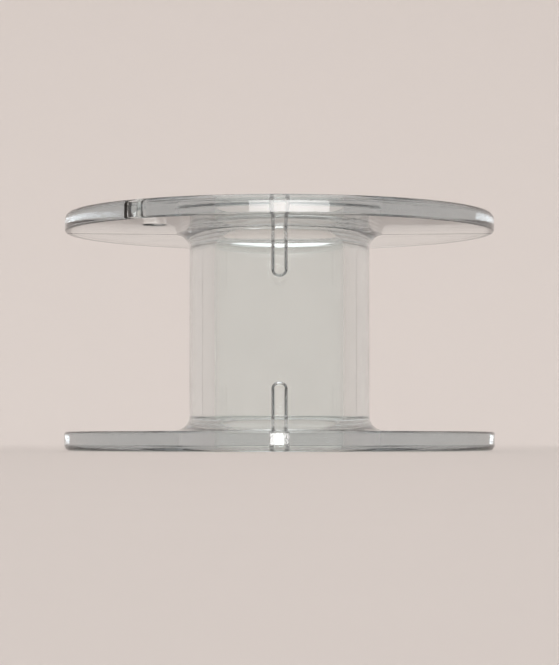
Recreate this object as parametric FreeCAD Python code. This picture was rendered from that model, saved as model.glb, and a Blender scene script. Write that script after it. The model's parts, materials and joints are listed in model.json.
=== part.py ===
import FreeCAD, Part
import math
import os

# Sewing machine bobbin, moulded in one piece from clear plastic: two flat flanges on a hollow hub.
# Sizes are in millimetres and degrees. +Z runs up the bore, and the origin is the centre of the
# lower flange's outer face. The front of the bobbin is towards -Y.

# Flanges
FLANGE_DIAMETER = 20.3
OVERALL_HEIGHT = 11.2
RIM_THICKNESS = 0.9
FLANGE_DRAFT = 0.5
RIM_ROUNDING = 0.3
RIM_EDGE_BREAK = 0.1

# Hub and bore
BORE_DIAMETER = 6.1
HUB_WALL = 1.2
ROOT_FILLET = 0.7
BORE_LEAD_IN = 0.12

# Thread hole through the upper flange, halfway across the flange's free width
THREAD_HOLE_DIAMETER = 1.0
THREAD_HOLE_AZIMUTH = 221.0
THREAD_HOLE_EDGE_BREAK = 0.1

# Notches in the bore for the spring of a winding spindle, spread evenly round each end
NOTCHES_PER_END = 2
FIRST_NOTCH_AZIMUTH = 270.0
NOTCH_WIDTH = 0.7
NOTCH_DEPTH = 0.4
NOTCH_LENGTH = 3.2

# The largest share of a wall that a rounding or chamfer on one of its two edges may take
EDGE_SHARE = 0.45
# How far a cutter stands out of the face that it starts from
CUTTER_OVERRUN = 0.5

AXIS = FreeCAD.Vector(0, 0, 1)
ORIGIN = FreeCAD.Vector(0, 0, 0)

flange_radius = FLANGE_DIAMETER / 2
bore_radius = BORE_DIAMETER / 2
hub_radius = bore_radius + HUB_WALL
draft_rise = (flange_radius - hub_radius) * math.tan(math.radians(FLANGE_DRAFT))
root_thickness = RIM_THICKNESS + draft_rise
channel_height = OVERALL_HEIGHT - 2 * root_thickness


def limited(edge_size, wall):
    """A rounding or chamfer, held to its share of the wall that it is on."""
    return min(edge_size, EDGE_SHARE * wall)


def rounded_outline(corners):
    """A closed wire in the XZ plane through corners (x, z, rounding), each with a tangent arc."""
    points = [FreeCAD.Vector(x, 0, z) for x, z, _ in corners]
    stretches = []
    for index, (_, _, rounding) in enumerate(corners):
        corner = points[index]
        back = (points[index - 1] - corner).normalize()
        ahead = (points[(index + 1) % len(points)] - corner).normalize()
        half_angle = back.getAngle(ahead) / 2
        setback = rounding / math.tan(half_angle)
        middle = (back + ahead).normalize() * (rounding / math.sin(half_angle) - rounding)
        stretches.append((corner + back * setback, corner + middle, corner + ahead * setback))

    edges = []
    for index, (start, middle, end) in enumerate(stretches):
        previous_end = stretches[index - 1][2]
        if not previous_end.isEqual(start, Part.Precision.confusion()):
            edges.append(Part.LineSegment(previous_end, start).toShape())
        if not start.isEqual(end, Part.Precision.confusion()):
            edges.append(Part.Arc(start, middle, end).toShape())
    return Part.Wire(edges)


def turned_body():
    """Hub and flanges as one half section, revolved about the bore."""
    rim = limited(RIM_ROUNDING, RIM_THICKNESS)
    edge_break = limited(RIM_EDGE_BREAK, RIM_THICKNESS)
    root = limited(ROOT_FILLET, channel_height)
    lead_in = limited(BORE_LEAD_IN, HUB_WALL)
    lower_half = [
        (bore_radius, lead_in, 0),
        (bore_radius + lead_in, 0, 0),
        (flange_radius, 0, rim),
        (flange_radius, RIM_THICKNESS - edge_break, 0),
        (flange_radius - edge_break, RIM_THICKNESS, 0),
        (hub_radius, root_thickness, root),
    ]
    upper_half = [(x, OVERALL_HEIGHT - z, rounding) for x, z, rounding in reversed(lower_half)]
    section = rounded_outline(lower_half + upper_half)
    return Part.Face(section).revolve(ORIGIN, AXIS, 360)


def drill_thread_hole(body):
    """The body with the thread hole through its upper flange, both edges broken for the thread."""
    azimuth = math.radians(THREAD_HOLE_AZIMUTH)
    hole_radius = THREAD_HOLE_DIAMETER / 2
    pitch_radius = (hub_radius + ROOT_FILLET + flange_radius) / 2
    foot = FreeCAD.Vector(pitch_radius * math.cos(azimuth), pitch_radius * math.sin(azimuth), OVERALL_HEIGHT)
    foot.z -= root_thickness + CUTTER_OVERRUN
    drill = Part.makeCylinder(hole_radius, root_thickness + 2 * CUTTER_OVERRUN, foot, AXIS)
    drilled = body.cut(drill)

    def is_hole_wall(face):
        surface = face.Surface
        return isinstance(surface, Part.Cylinder) and surface.Center.distanceToLine(foot, AXIS) < hole_radius

    edges = [
        edge
        for face in drilled.Faces if is_hole_wall(face)
        for edge in face.Edges if not isinstance(edge.Curve, Part.Line)
    ]
    return drilled.makeChamfer(limited(THREAD_HOLE_EDGE_BREAK, RIM_THICKNESS), edges)


def notch_cutter():
    """One round-ended notch that rises from the lower face, cut to a floor concentric with the bore."""
    half_width = NOTCH_WIDTH / 2
    slot = rounded_outline([
        (-half_width, -CUTTER_OVERRUN, 0),
        (half_width, -CUTTER_OVERRUN, 0),
        (half_width, NOTCH_LENGTH, half_width),
        (-half_width, NOTCH_LENGTH, half_width),
    ])
    floor_radius = bore_radius + NOTCH_DEPTH
    bar = Part.Face(slot).extrude(FreeCAD.Vector(0, floor_radius, 0))
    reach = NOTCH_LENGTH + 2 * CUTTER_OVERRUN
    plug = Part.makeCylinder(floor_radius, reach, FreeCAD.Vector(0, 0, -CUTTER_OVERRUN), AXIS)
    cutter = bar.common(plug)
    cutter.rotate(ORIGIN, AXIS, FIRST_NOTCH_AZIMUTH - 90)
    return cutter


def cut_winder_notches(body):
    """The body with its notches cut into both ends of the bore."""
    mid_height = FreeCAD.Vector(0, 0, OVERALL_HEIGHT / 2)
    for index in range(NOTCHES_PER_END):
        lower = notch_cutter()
        lower.rotate(ORIGIN, AXIS, index * 360 / NOTCHES_PER_END)
        body = body.cut(lower).cut(lower.mirror(mid_height, AXIS))
    return body


bobbin = cut_winder_notches(drill_thread_hole(turned_body()))

os.makedirs("parts", exist_ok=True)
bobbin.exportStep("parts/bobbin.step")
print("solids", len(bobbin.Solids), "valid", bobbin.isValid(), "volume %.2f mm3" % bobbin.Volume)
print("hub diameter %.2f mm, channel height %.2f mm" % (2 * hub_radius, channel_height))
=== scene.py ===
"""A clear plastic sewing machine bobbin, one moulding, standing on a pale sweep in soft studio light."""

import json
import logging
import math
from contextlib import contextmanager
from dataclasses import dataclass, field
from enum import Enum
from typing import Any, Callable, Iterator, List, Mapping, Tuple, Union

import bmesh
import bpy
from mathutils import Matrix, Vector


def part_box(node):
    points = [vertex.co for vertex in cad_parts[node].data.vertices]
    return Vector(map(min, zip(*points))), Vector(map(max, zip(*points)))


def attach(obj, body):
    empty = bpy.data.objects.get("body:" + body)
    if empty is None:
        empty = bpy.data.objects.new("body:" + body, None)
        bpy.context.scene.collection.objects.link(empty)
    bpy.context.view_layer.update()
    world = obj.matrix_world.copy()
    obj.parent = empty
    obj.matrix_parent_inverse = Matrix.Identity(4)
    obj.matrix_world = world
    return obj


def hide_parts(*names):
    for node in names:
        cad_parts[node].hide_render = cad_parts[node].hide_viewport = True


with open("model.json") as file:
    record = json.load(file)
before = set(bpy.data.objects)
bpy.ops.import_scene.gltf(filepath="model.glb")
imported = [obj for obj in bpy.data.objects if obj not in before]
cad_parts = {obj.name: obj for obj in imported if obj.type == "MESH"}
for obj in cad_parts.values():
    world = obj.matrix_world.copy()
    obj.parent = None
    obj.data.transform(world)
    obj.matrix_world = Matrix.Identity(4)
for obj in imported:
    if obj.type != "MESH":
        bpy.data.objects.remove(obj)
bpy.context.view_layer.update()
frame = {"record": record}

LOG = logging.getLogger("bobbin")
IMAGE_SIZE = (559, 665)
MM = 0.001
FULL_TURN = 2 * math.pi
QUARTER_TURN = math.pi / 2
UP = Vector((0, 0, 1))

# How near a point lies to a place to be picked there, and to another point to be merged with it
PICK_REACH = 0.002 * MM
MERGE_REACH = PICK_REACH / 10

# The weight at which only the largest face sets a normal, and the square millimetres by which two
# faces may differ and still count as equal
LARGEST_FACE_ONLY = 100
SAME_FACE_AREA = 0.001

# The sockets of a Mix node that are for colours
MIX_SHARE, MIX_LOW, MIX_HIGH, MIX_RESULT = 0, 6, 7, 2

# How often light may turn inside clear plastic, and between shiny faces
CLEAR_BOUNCES = 24
SHINY_BOUNCES = 12

Colour = Tuple[float, float, float]
Place = Tuple[float, float, float]
Corner = Tuple[float, float]
Input = Union["Value", bpy.types.NodeSocket, float, Tuple[float, ...]]


class End(Enum):
    """An end of the bore or of a pin, by the way that it faces along the axis."""

    LOWER = -1
    UPPER = 1


class Value:
    """A number that varies over a surface, held as a shader socket. Its arithmetic adds Math nodes."""

    def __init__(self, graph: "Graph", socket: bpy.types.NodeSocket) -> None:
        """Wraps one output socket of a graph."""
        self.graph = graph
        self.socket = socket

    def _math(self, operation: str, first: Input, second: Input) -> "Value":
        """A Math node on two inputs."""
        made = self.graph.node("ShaderNodeMath", {"operation": operation}, {0: first, 1: second})
        return Value(self.graph, made.outputs[0])

    def __add__(self, other: Input) -> "Value":
        """The sum."""
        return self._math("ADD", self, other)

    def __radd__(self, other: Input) -> "Value":
        """The sum, with this value second."""
        return self._math("ADD", other, self)

    def __mul__(self, other: Input) -> "Value":
        """The product."""
        return self._math("MULTIPLY", self, other)

    def __rmul__(self, other: Input) -> "Value":
        """The product, with this value second."""
        return self._math("MULTIPLY", other, self)

    def above(self, low: float, high: float) -> "Value":
        """How far the value has risen from low to high, eased from 0 to 1.

        Args:
            low: The value that gives 0.
            high: The value that gives 1.

        Returns:
            The eased share.
        """
        settings = {"interpolation_type": "SMOOTHSTEP"}
        inputs = {"Value": self, "From Min": low, "From Max": high}
        return Value(self.graph, self.graph.node("ShaderNodeMapRange", settings, inputs).outputs["Result"])


class Graph:
    """The node tree of one material or world."""

    def __init__(self, owner: Union[bpy.types.Material, bpy.types.World]) -> None:
        """Empties the owner's tree, ready for new nodes.

        Args:
            owner: The material or world.
        """
        owner.use_nodes = True
        self.tree = owner.node_tree
        self.tree.nodes.clear()

    def node(
        self, kind: str, settings: Mapping[str, Any], inputs: Mapping[Union[int, str], Input]
    ) -> bpy.types.Node:
        """Adds one node.

        Args:
            kind: The node's type.
            settings: The node's own properties, set before its sockets.
            inputs: The value or link of each socket, by name or number.

        Returns:
            The new node.
        """
        made = self.tree.nodes.new(kind)
        for name, setting in settings.items():
            setattr(made, name, setting)
        for name, value in inputs.items():
            if isinstance(value, Value):
                self.tree.links.new(value.socket, made.inputs[name])
            elif isinstance(value, bpy.types.NodeSocket):
                self.tree.links.new(value, made.inputs[name])
            else:
                made.inputs[name].default_value = value
        return made

    def noise(self, size: float, detail: float) -> Value:
        """Soft noise over the surface, on Object coordinates.

        Args:
            size: The size of one patch, in metres.
            detail: How many finer layers it has.

        Returns:
            The noise, from 0 to 1.
        """
        coordinates = self.node("ShaderNodeTexCoord", {}, {})
        inputs = {"Vector": coordinates.outputs["Object"], "Scale": 1 / size, "Detail": detail}
        return Value(self, self.node("ShaderNodeTexNoise", {}, inputs).outputs["Fac"])

    def blend(self, share: Value, low: Colour, high: Colour) -> bpy.types.NodeSocket:
        """A colour between two others.

        Args:
            share: How much of the second colour shows.
            low: The first colour.
            high: The second colour.

        Returns:
            The blended colour's socket.
        """
        inputs = {MIX_SHARE: share, MIX_LOW: (*low, 1), MIX_HIGH: (*high, 1)}
        return self.node("ShaderNodeMix", {"data_type": "RGBA"}, inputs).outputs[MIX_RESULT]


@dataclass(frozen=True)
class ClearPlastic:
    """Polished clear styrene: a faint tint in its depth, handling haze and the waviness of moulded skin."""

    name: str = "clear_plastic"
    refraction: float = 1.58
    clear_skin: Colour = (0.95, 0.984, 0.978)
    hazy_skin: Colour = (0.925, 0.96, 0.954)
    polish: float = 0.012
    haze: float = 0.11
    haze_grain: float = 0.6
    depth_colour: Colour = (0.33, 0.405, 0.465)
    depth_density: float = 40.0
    smudge_size: float = 2.6 * MM
    smudge_edge: Tuple[float, float] = (0.44, 0.72)
    flow_size: float = 1.7 * MM
    flow_height: float = 0.0022 * MM
    grain_size: float = 0.22 * MM
    grain_share: float = 0.04

    def material(self) -> bpy.types.Material:
        """Makes the material.

        Returns:
            The material, ready for a slot.
        """
        made = bpy.data.materials.new(self.name)
        graph = Graph(made)
        smudges = graph.noise(self.smudge_size, detail=4).above(*self.smudge_edge)
        flow = graph.noise(self.flow_size, detail=2)
        grain = graph.noise(self.grain_size, detail=3)
        patchiness = (1 - self.haze_grain) + grain * self.haze_grain
        bump = graph.node("ShaderNodeBump", {}, {
            "Strength": 1.0,
            "Distance": self.flow_height,
            "Height": flow + grain * self.grain_share,
        })
        skin = graph.node("ShaderNodeBsdfPrincipled", {}, {
            "Base Color": graph.blend(smudges, self.clear_skin, self.hazy_skin),
            "Roughness": self.polish + smudges * (self.haze - self.polish) * patchiness,
            "IOR": self.refraction,
            "Transmission Weight": 1.0,
            "Normal": bump.outputs["Normal"],
        })
        depth = graph.node("ShaderNodeVolumeAbsorption", {}, {
            "Color": (*self.depth_colour, 1),
            "Density": self.depth_density,
        })
        graph.node("ShaderNodeOutputMaterial", {}, {
            "Surface": skin.outputs["BSDF"],
            "Volume": depth.outputs["Volume"],
        })
        return made


@dataclass(frozen=True)
class SweepPaper:
    """Pale matte paper, a little warm."""

    name: str = "sweep_paper"
    tone: Colour = (0.74, 0.692, 0.666)
    fibre_tone: Colour = (0.73, 0.682, 0.656)
    fibre_size: float = 1.5 * MM
    roughness: float = 0.9

    def material(self) -> bpy.types.Material:
        """Makes the material.

        Returns:
            The material, ready for a slot.
        """
        made = bpy.data.materials.new(self.name)
        graph = Graph(made)
        fibres = graph.noise(self.fibre_size, detail=3)
        paper = graph.node("ShaderNodeBsdfPrincipled", {}, {
            "Base Color": graph.blend(fibres, self.tone, self.fibre_tone),
            "Roughness": self.roughness,
            "Specular IOR Level": 0.0,
        })
        graph.node("ShaderNodeOutputMaterial", {}, {"Surface": paper.outputs["BSDF"]})
        return made


def clear_selection() -> None:
    """Deselects every object."""
    bpy.ops.object.select_all(action="DESELECT")


class Bench:
    """Work on one mesh object, with its points picked by place."""

    def __init__(self, piece: bpy.types.Object) -> None:
        """Takes one object onto the bench."""
        self.piece = piece

    @classmethod
    def take_new(cls, name: str) -> "Bench":
        """Takes the primitive that was just added, with its place and size in its mesh.

        Args:
            name: The object's new name.

        Returns:
            The bench with that object.
        """
        piece = bpy.context.object
        piece.name = piece.data.name = name
        bpy.ops.object.transform_apply(location=True, rotation=True, scale=True)
        return cls(piece)

    @classmethod
    def joined(cls, benches: List["Bench"]) -> "Bench":
        """Joins several objects into the first one.

        Args:
            benches: The benches with the objects.

        Returns:
            The bench with the one object that is left.
        """
        benches[0].hold()
        for bench in benches:
            bench.piece.select_set(True)
        bpy.ops.object.join()
        return benches[0]

    def hold(self) -> None:
        """Makes this object the only one that operators act on."""
        clear_selection()
        self.piece.select_set(True)
        bpy.context.view_layer.objects.active = self.piece

    @contextmanager
    def editing(self) -> Iterator[None]:
        """Edit mode on this object alone, left again at the end."""
        self.hold()
        bpy.ops.object.mode_set(mode="EDIT")
        yield
        bpy.ops.object.mode_set(mode="OBJECT")

    def pick_all(self) -> None:
        """Selects the whole mesh."""
        bpy.ops.mesh.select_all(action="SELECT")

    def pick(self, test: Callable[[Vector], bool]) -> None:
        """Selects the points that pass a test, with the edges and faces between them.

        Args:
            test: Says whether a point's place is wanted.
        """
        bpy.ops.mesh.select_mode(type="VERT")
        bpy.ops.mesh.select_all(action="DESELECT")
        mesh = bmesh.from_edit_mesh(self.piece.data)
        for point in mesh.verts:
            if test(point.co):
                point.select = True
        mesh.select_flush(True)
        bmesh.update_edit_mesh(self.piece.data)

    def pick_corners(self, *corners: Corner) -> None:
        """Selects corners of a flat section.

        Args:
            corners: Radius and height of each corner.
        """
        targets = [Vector((radius, 0, height)) for radius, height in corners]
        self.pick(lambda spot: any((spot - target).length < PICK_REACH for target in targets))

    def round_corners(self, rounding: float, steps: int, *corners: Corner) -> None:
        """Rounds corners of a flat section.

        Args:
            rounding: The rounding's radius.
            steps: How many straight steps the rounding has.
            corners: Radius and height of each corner.
        """
        self.pick_corners(*corners)
        bpy.ops.mesh.bevel(offset=rounding, segments=steps, affect="VERTICES")

    def close_up(self) -> None:
        """Merges doubled points and turns the faces outwards."""
        self.pick_all()
        bpy.ops.mesh.remove_doubles(threshold=MERGE_REACH)
        bpy.ops.mesh.normals_make_consistent(inside=False)

    def carve(self, cutter: "Bench") -> None:
        """Cuts another object out of this one, and then removes that object.

        Args:
            cutter: The bench with the cutter.
        """
        modifier = self.piece.modifiers.new("carve", "BOOLEAN")
        modifier.operation = "DIFFERENCE"
        modifier.solver = "EXACT"
        modifier.object = cutter.piece
        self.apply(modifier)
        bpy.data.objects.remove(cutter.piece)

    def apply(self, modifier: bpy.types.Modifier) -> None:
        """Applies one modifier."""
        self.hold()
        bpy.ops.object.modifier_apply(modifier=modifier.name)

    def smooth(self, crease: float) -> None:
        """Shades round faces smooth and keeps flat faces flat, right up to the roundings beside them.

        Weighted normals pass over faces as small as these, so the mesh is in millimetres meanwhile.

        Args:
            crease: The angle past which an edge stays crisp.
        """
        self.hold()
        bpy.ops.object.shade_smooth_by_angle(angle=crease)
        self.piece.data.transform(Matrix.Scale(1 / MM, 4))
        weighted = self.piece.modifiers.new("flat faces", "WEIGHTED_NORMAL")
        weighted.keep_sharp = True
        weighted.weight = LARGEST_FACE_ONLY
        weighted.thresh = SAME_FACE_AREA
        self.apply(weighted)
        self.piece.data.transform(Matrix.Scale(MM, 4))


@dataclass
class Bobbin:
    """The moulding: two drafted flanges on a hollow hub, with a thread hole and winder notches."""

    flange_radius: float
    height: float
    bore_radius: float
    rim_thickness: float = 0.9 * MM
    rim_rounding: float = 0.3 * MM
    rim_edge_rounding: float = 0.1 * MM
    flange_draft: float = math.radians(0.5)
    hub_wall: float = 1.2 * MM
    root_fillet: float = 0.7 * MM
    bore_lead_in: float = 0.12 * MM
    hole_radius: float = 0.5 * MM
    hole_azimuth: float = math.radians(221)
    hole_lip: float = 0.12 * MM
    hole_lip_turn: float = math.radians(72)
    hole_sides: int = 64
    notch_azimuths: Tuple[float, ...] = (math.radians(270), math.radians(90))
    notch_width: float = 0.7 * MM
    notch_depth: float = 0.4 * MM
    notch_length: float = 3.2 * MM
    notch_rounding: float = 0.22 * MM
    notch_end_roundness: float = 0.98
    cutter_overrun: float = 0.5 * MM
    parting_line_width: float = 0.04 * MM
    parting_line_slope: float = 0.03 * MM
    parting_line_height: float = 0.008 * MM
    turn_steps: int = 192
    fillet_steps: int = 8
    lip_steps: int = 8
    crease: float = math.radians(14)
    finish: ClearPlastic = field(default_factory=ClearPlastic)

    @classmethod
    def from_frame(cls) -> "Bobbin":
        """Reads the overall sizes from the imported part.

        Returns:
            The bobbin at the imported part's size.
        """
        _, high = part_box("bobbin")
        bore = next(mount for mount in frame["record"]["mounts"] if mount["name"] == "bore")
        return cls(flange_radius=high[0], height=high[2], bore_radius=bore["dims"]["r_mm"] * MM)

    @property
    def hub_radius(self) -> float:
        """The winding surface's radius."""
        return self.bore_radius + self.hub_wall

    @property
    def root_thickness(self) -> float:
        """The flange's thickness where it meets the hub."""
        return self.rim_thickness + (self.flange_radius - self.hub_radius) * math.tan(self.flange_draft)

    def build(self) -> bpy.types.Object:
        """Models the moulding.

        Returns:
            The finished object.
        """
        body = self._section()
        self._turn(body)
        self._raise_parting_line(body)
        cutters = [self._hole_cutter()]
        cutters += [self._notch_cutter(azimuth, end) for azimuth in self.notch_azimuths for end in End]
        body.carve(Bench.joined(cutters))
        with body.editing():
            body.close_up()
        body.smooth(self.crease)
        return body.piece

    def dress(self, piece: bpy.types.Object) -> None:
        """Gives the moulding its plastic."""
        piece.data.materials.clear()
        piece.data.materials.append(self.finish.material())

    def _section(self) -> Bench:
        """Draws half of the moulding's section, as one face with rounded corners.

        Returns:
            The section's bench.
        """
        clear_selection()
        middle = (self.bore_radius + self.hub_wall / 2, 0, self.height / 2)
        bpy.ops.mesh.primitive_plane_add(size=1, location=middle, rotation=(QUARTER_TURN, 0, 0))
        bpy.context.object.scale = (self.hub_wall, self.height, 1)
        section = Bench.take_new("moulding")
        with section.editing():
            for cut_height in (self.root_thickness, self.height - self.root_thickness):
                section.pick_all()
                bpy.ops.mesh.bisect(plane_co=(0, 0, cut_height), plane_no=UP)
            self._pull_flange(section, 0, self.root_thickness)
            self._pull_flange(section, self.height, self.height - self.root_thickness)
            section.pick_all()
            bpy.ops.mesh.dissolve_faces()
            self._round_section(section)
        return section

    def _pull_flange(self, section: Bench, outer: float, inner: float) -> None:
        """Pulls one flange out of the hub's wall and gives its inner face its draft.

        Args:
            section: The section's bench.
            outer: The height of the flange's outer face.
            inner: The height of the flange's inner face at the hub.
        """
        section.pick_corners((self.hub_radius, outer), (self.hub_radius, inner))
        reach = self.flange_radius - self.hub_radius
        bpy.ops.mesh.extrude_region_move(TRANSFORM_OT_translate={"value": (reach, 0, 0)})
        section.pick_corners((self.flange_radius, inner))
        fall = math.copysign(self.root_thickness - self.rim_thickness, outer - inner)
        bpy.ops.transform.translate(value=(0, 0, fall))

    def _round_section(self, section: Bench) -> None:
        """Rounds the section's rims, roots and bore ends, alike at both flanges.

        Args:
            section: The section's bench.
        """
        roundings = (
            (self.rim_rounding, self.fillet_steps, self.flange_radius, 0),
            (self.rim_edge_rounding, self.lip_steps, self.flange_radius, self.rim_thickness),
            (self.root_fillet, self.fillet_steps, self.hub_radius, self.root_thickness),
            (self.bore_lead_in, self.fillet_steps, self.bore_radius, 0),
        )
        for rounding, steps, radius, depth in roundings:
            section.round_corners(rounding, steps, (radius, depth), (radius, self.height - depth))

    def _turn(self, body: Bench) -> None:
        """Spins the section's outline into the round moulding.

        Args:
            body: The section's bench.
        """
        with body.editing():
            body.pick_all()
            bpy.ops.mesh.delete(type="ONLY_FACE")
            body.pick_all()
            bpy.ops.mesh.spin(steps=self.turn_steps, angle=FULL_TURN, center=(0, 0, 0), axis=UP)
            body.close_up()

    def _in_channel(self, spot: Vector) -> bool:
        """Whether a point is on the walls of the channel that the thread is wound into.

        Args:
            spot: The point's place.

        Returns:
            True on the hub's outside and the flanges' inner faces.
        """
        above_lower = spot.z > self.rim_thickness - PICK_REACH
        below_upper = spot.z < self.height - self.rim_thickness + PICK_REACH
        return above_lower and below_upper and spot.xy.length > self.hub_radius - PICK_REACH

    def _raise_parting_line(self, body: Bench) -> None:
        """Raises the fine line where two side moulds met, down the hub and across the flanges' inner faces.

        Args:
            body: The turned moulding's bench.
        """
        crest = self.parting_line_width / 2
        foot = crest + self.parting_line_slope
        with body.editing():
            for offset in (-foot, -crest, crest, foot):
                body.pick(self._in_channel)
                bpy.ops.mesh.bisect(plane_co=(0, offset, 0), plane_no=(0, 1, 0), threshold=MERGE_REACH)
            body.pick(lambda spot: self._in_channel(spot) and abs(spot.y) < crest + PICK_REACH)
            bpy.ops.transform.shrink_fatten(value=self.parting_line_height)

    def _hole_cutter(self) -> Bench:
        """Makes a pin for the thread hole, flared into a lip at both faces of the upper flange.

        Returns:
            The pin's bench.
        """
        pitch = (self.hub_radius + self.root_fillet + self.flange_radius) / 2
        across = self.flange_radius - pitch
        inner_face = self.height - self.rim_thickness - across * math.tan(self.flange_draft)
        low, high = inner_face + self.hole_lip, self.height - self.hole_lip
        axis = Vector((pitch * math.cos(self.hole_azimuth), pitch * math.sin(self.hole_azimuth), 0))
        clear_selection()
        bpy.ops.mesh.primitive_cylinder_add(
            vertices=self.hole_sides,
            radius=self.hole_radius,
            depth=high - low,
            location=axis + UP * (low + high) / 2,
        )
        pin = Bench.take_new("thread_hole_pin")
        with pin.editing():
            self._flare(pin, axis, high, End.UPPER)
            self._flare(pin, axis, low, End.LOWER)
        return pin

    def _lip_outline(self) -> List[Tuple[float, float]]:
        """Draws the hole's lip: a round that stops short of flat, then a straight run past the face.

        Returns:
            The rise along the pin and the spread from its wall, step by step.
        """
        angles = [self.hole_lip_turn * step / self.lip_steps for step in range(1, self.lip_steps + 1)]
        lip = [(self.hole_lip * math.sin(angle), self.hole_lip * (1 - math.cos(angle))) for angle in angles]
        rise, spread = lip[-1]
        run = 2 * (self.hole_lip - rise)
        return lip + [(rise + run, spread + run * math.tan(self.hole_lip_turn))]

    def _flare(self, pin: Bench, axis: Vector, start: float, end: End) -> None:
        """Pulls one end of the pin out along the lip.

        Args:
            pin: The pin's bench.
            axis: A point on the pin's axis.
            start: The height of the pin's end.
            end: Which end it is.
        """
        height, radius = start, self.hole_radius
        for rise, spread in self._lip_outline():
            next_height, next_radius = start + end.value * rise, self.hole_radius + spread
            pin.pick(lambda spot, level=height: abs(spot.z - level) < PICK_REACH)
            bpy.ops.mesh.extrude_region_move(TRANSFORM_OT_translate={"value": (0, 0, next_height - height)})
            factor, centre = next_radius / radius, (axis.x, axis.y, next_height)
            bpy.ops.transform.resize(value=(factor, factor, 1), center_override=centre)
            height, radius = next_height, next_radius

    def _notch_cutter(self, azimuth: float, end: End) -> Bench:
        """Makes a round-ended bar that cuts one notch into the bore.

        Args:
            azimuth: The notch's direction from the axis.
            end: The end of the bore that the notch opens at.

        Returns:
            The bar's bench.
        """
        top, half_width = self.notch_length, self.notch_width / 2
        length = top + self.cutter_overrun
        floor = self.bore_radius + self.notch_depth
        clear_selection()
        bpy.ops.mesh.primitive_plane_add(
            size=1, location=(0, 0, top - length / 2), rotation=(QUARTER_TURN, 0, 0)
        )
        bpy.context.object.scale = (self.notch_width, length, 1)
        bar = Bench.take_new("notch_bar")
        end_rounding = self.notch_end_roundness * half_width
        with bar.editing():
            bar.round_corners(end_rounding, 2 * self.lip_steps, (half_width, top), (-half_width, top))
            bar.pick_all()
            bpy.ops.mesh.extrude_region_move(TRANSFORM_OT_translate={"value": (0, floor, 0)})
            bar.pick(lambda spot: abs(spot.y - floor) < PICK_REACH)
            bpy.ops.mesh.bevel(offset=self.notch_rounding, segments=self.lip_steps, affect="EDGES")
        turn = Matrix.Rotation(azimuth - QUARTER_TURN, 4, "Z")
        if end is End.UPPER:
            turn = Matrix.Translation(UP * self.height) @ Matrix.Scale(-1, 4, UP) @ turn
        bar.piece.data.transform(turn)
        with bar.editing():
            bar.close_up()
        return bar


@dataclass
class Sweep:
    """A round table that curves up into a wall on every side, so that no horizon shows."""

    table_radius: float = 280 * MM
    curve_radius: float = 320 * MM
    wall_height: float = 650 * MM
    drop: float = 0.02 * MM
    sides: int = 128
    curve_steps: int = 24
    crease: float = math.radians(60)
    finish: SweepPaper = field(default_factory=SweepPaper)

    def build(self) -> bpy.types.Object:
        """Models the table and its wall.

        Returns:
            The finished object.
        """
        clear_selection()
        bpy.ops.mesh.primitive_circle_add(vertices=self.sides, radius=self.table_radius, fill_type="NGON")
        sweep = Bench.take_new("sweep")
        with sweep.editing():
            self._raise_wall(sweep)
            sweep.pick_all()
            bpy.ops.mesh.normals_make_consistent(inside=True)
        sweep.piece.data.transform(Matrix.Translation(-UP * self.drop))
        sweep.smooth(self.crease)
        return sweep.piece

    def dress(self, piece: bpy.types.Object) -> None:
        """Papers the sweep."""
        piece.data.materials.append(self.finish.material())

    def _wall_outline(self) -> List[Corner]:
        """Draws the wall's section: a quarter round from the table's edge, then straight up.

        Returns:
            Radius and height, step by step.
        """
        rim = self.table_radius
        angles = [QUARTER_TURN * step / self.curve_steps for step in range(1, self.curve_steps + 1)]
        curve = [
            (rim + self.curve_radius * math.sin(angle), self.curve_radius * (1 - math.cos(angle)))
            for angle in angles
        ]
        return curve + [(rim + self.curve_radius, self.wall_height)]

    def _raise_wall(self, sweep: Bench) -> None:
        """Pulls the table's edge up along the wall's section.

        Args:
            sweep: The table's bench.
        """
        radius, height = self.table_radius, 0.0
        for next_radius, next_height in self._wall_outline():
            sweep.pick(
                lambda spot, edge=radius, level=height:
                spot.xy.length > edge - PICK_REACH and abs(spot.z - level) < PICK_REACH
            )
            bpy.ops.mesh.extrude_edges_move(TRANSFORM_OT_translate={"value": (0, 0, next_height - height)})
            factor = next_radius / radius
            bpy.ops.transform.resize(value=(factor, factor, 1), center_override=(0, 0, next_height))
            radius, height = next_radius, next_height


@dataclass(frozen=True)
class Softbox:
    """A soft lamp whose grid holds its light in. Its brightness is that of its face, seen straight on."""

    name: str
    place: Place
    aim: Place
    width: float
    height: float
    brightness: float
    spread: float = math.radians(100)

    def build(self) -> bpy.types.Object:
        """Hangs the lamp.

        Returns:
            The lamp's object.
        """
        lamp = bpy.data.lights.new(self.name, "AREA")
        lamp.shape = "RECTANGLE"
        lamp.size, lamp.size_y = self.width, self.height
        lamp.spread = self.spread
        half_spread = self.spread / 2
        held_in = 1 - half_spread / math.tan(half_spread)
        lamp.energy = self.brightness * math.pi * self.width * self.height * held_in
        holder = bpy.data.objects.new(self.name, lamp)
        bpy.context.scene.collection.objects.link(holder)
        holder.visible_camera = False
        holder.location = self.place
        way = Vector(self.aim) - Vector(self.place)
        holder.rotation_euler = way.to_track_quat("-Z", "Y").to_euler()
        return holder


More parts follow.
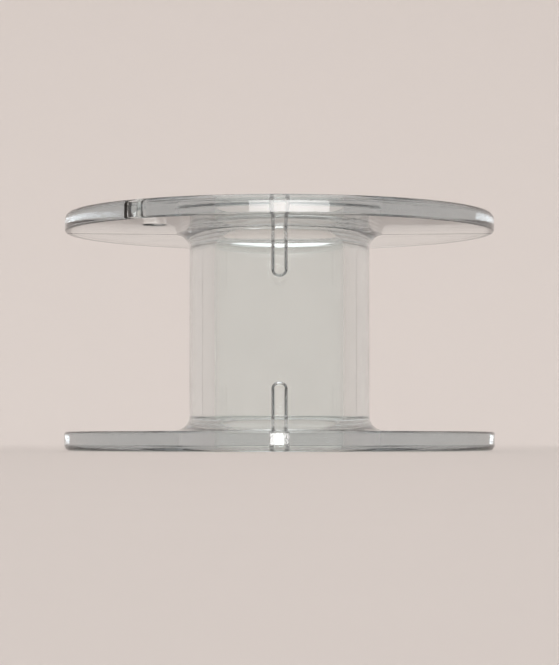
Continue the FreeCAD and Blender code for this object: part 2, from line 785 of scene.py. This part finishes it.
@dataclass(frozen=True)
class WallLights:
    """Softboxes in a ring overhead that light the sweep's wall: back, left, front and right."""

    brightnesses: Tuple[float, ...] = (3.4, 1.75, 2.1, 1.75)
    ring_radius: float = 80 * MM
    height: float = 600 * MM
    aim_radius: float = 560 * MM
    aim_height: float = 120 * MM
    width: float = 700 * MM
    depth: float = 220 * MM

    def softboxes(self) -> List[Softbox]:
        """Sets out the ring.

        Returns:
            One softbox for each side of the sweep.
        """
        ring = []
        for index, brightness in enumerate(self.brightnesses):
            turn = Matrix.Rotation(index * FULL_TURN / len(self.brightnesses), 3, "Z")
            place = turn @ Vector((0, self.ring_radius, self.height))
            aim = turn @ Vector((0, self.aim_radius, self.aim_height))
            name = f"wall_softbox_{index + 1}"
            ring.append(Softbox(name, tuple(place), tuple(aim), self.width, self.depth, brightness))
        return ring


@dataclass(frozen=True)
class Room:
    """The plain pale light that fills in from every side."""

    tone: Colour = (1.0, 0.97, 0.94)
    brightness: float = 0.56

    def build(self) -> bpy.types.World:
        """Makes the world.

        Returns:
            The scene's new world.
        """
        world = bpy.data.worlds.new("room")
        graph = Graph(world)
        light = graph.node("ShaderNodeBackground", {}, {
            "Color": (*self.tone, 1),
            "Strength": self.brightness,
        })
        graph.node("ShaderNodeOutputWorld", {}, {"Surface": light.outputs["Background"]})
        bpy.context.scene.world = world
        return world


@dataclass(frozen=True)
class Viewpoint:
    """The camera: level with the lower flange, close enough to see under the upper one."""

    distance: float = 116 * MM
    height: float = 0.45 * MM
    aim_height: float = 5.6 * MM
    width_share: float = 0.77
    sensor: float = 36.0

    def build(self, object_radius: float) -> bpy.types.Object:
        """Sets up the camera.

        Args:
            object_radius: The radius that has to fill the width share of the picture.

        Returns:
            The camera's object.
        """
        camera = bpy.data.cameras.new("camera")
        width, height = IMAGE_SIZE
        half_width = math.tan(math.asin(object_radius / self.distance)) / self.width_share
        camera.sensor_width = self.sensor
        camera.lens = self.sensor / 2 / (half_width * height / width)
        camera.clip_start = MM
        holder = bpy.data.objects.new("camera", camera)
        bpy.context.scene.collection.objects.link(holder)
        holder.location = (0, -self.distance, self.height)
        way = Vector((0, 0, self.aim_height)) - holder.location
        holder.rotation_euler = way.to_track_quat("-Z", "Y").to_euler()
        bpy.context.scene.camera = holder
        return holder


LAMPS: List[Softbox] = [
    Softbox(
        name="upper_strip",
        place=(18 * MM, -210 * MM, 32.4 * MM),
        aim=(0, 0, 10 * MM),
        width=156 * MM,
        height=7.6 * MM,
        brightness=7.9,
    ),
    Softbox(
        name="lower_strip",
        place=(0, -270 * MM, 1.5 * MM),
        aim=(0, 0, 1.5 * MM),
        width=44 * MM,
        height=2.8 * MM,
        brightness=14.0,
        spread=math.radians(40),
    ),
    Softbox(
        name="top_softbox",
        place=(-60 * MM, 40 * MM, 690 * MM),
        aim=(0, 0, 0),
        width=800 * MM,
        height=800 * MM,
        brightness=1.6,
    ),
    *WallLights().softboxes(),
]


def set_render_look() -> None:
    """Plain colours, and enough bounces for light to find its way out of clear plastic."""
    scene = bpy.context.scene
    scene.view_settings.view_transform = "Standard"
    scene.cycles.max_bounces = CLEAR_BOUNCES
    scene.cycles.transmission_bounces = CLEAR_BOUNCES
    scene.cycles.glossy_bounces = SHINY_BOUNCES
    scene.cycles.blur_glossy = 0.0


def main() -> None:
    """Builds the bobbin, the stage, the lamps and the camera."""
    logging.basicConfig(level=logging.INFO, format="%(name)s: %(message)s")
    bobbin = Bobbin.from_frame()
    moulding = bobbin.build()
    bobbin.dress(moulding)
    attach(moulding, "root")
    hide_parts("bobbin")
    LOG.info("%s has %d faces", moulding.name, len(moulding.data.polygons))

    sweep = Sweep()
    table = sweep.build()
    sweep.dress(table)
    LOG.info("%s has %d faces", table.name, len(table.data.polygons))

    Room().build()
    for lamp in LAMPS:
        holder = lamp.build()
        LOG.info("%s hangs at %s", holder.name, tuple(holder.location))
    camera = Viewpoint().build(bobbin.flange_radius)
    LOG.info("camera lens %.1f mm", camera.data.lens)
    set_render_look()


if __name__ == "__main__":
    main()
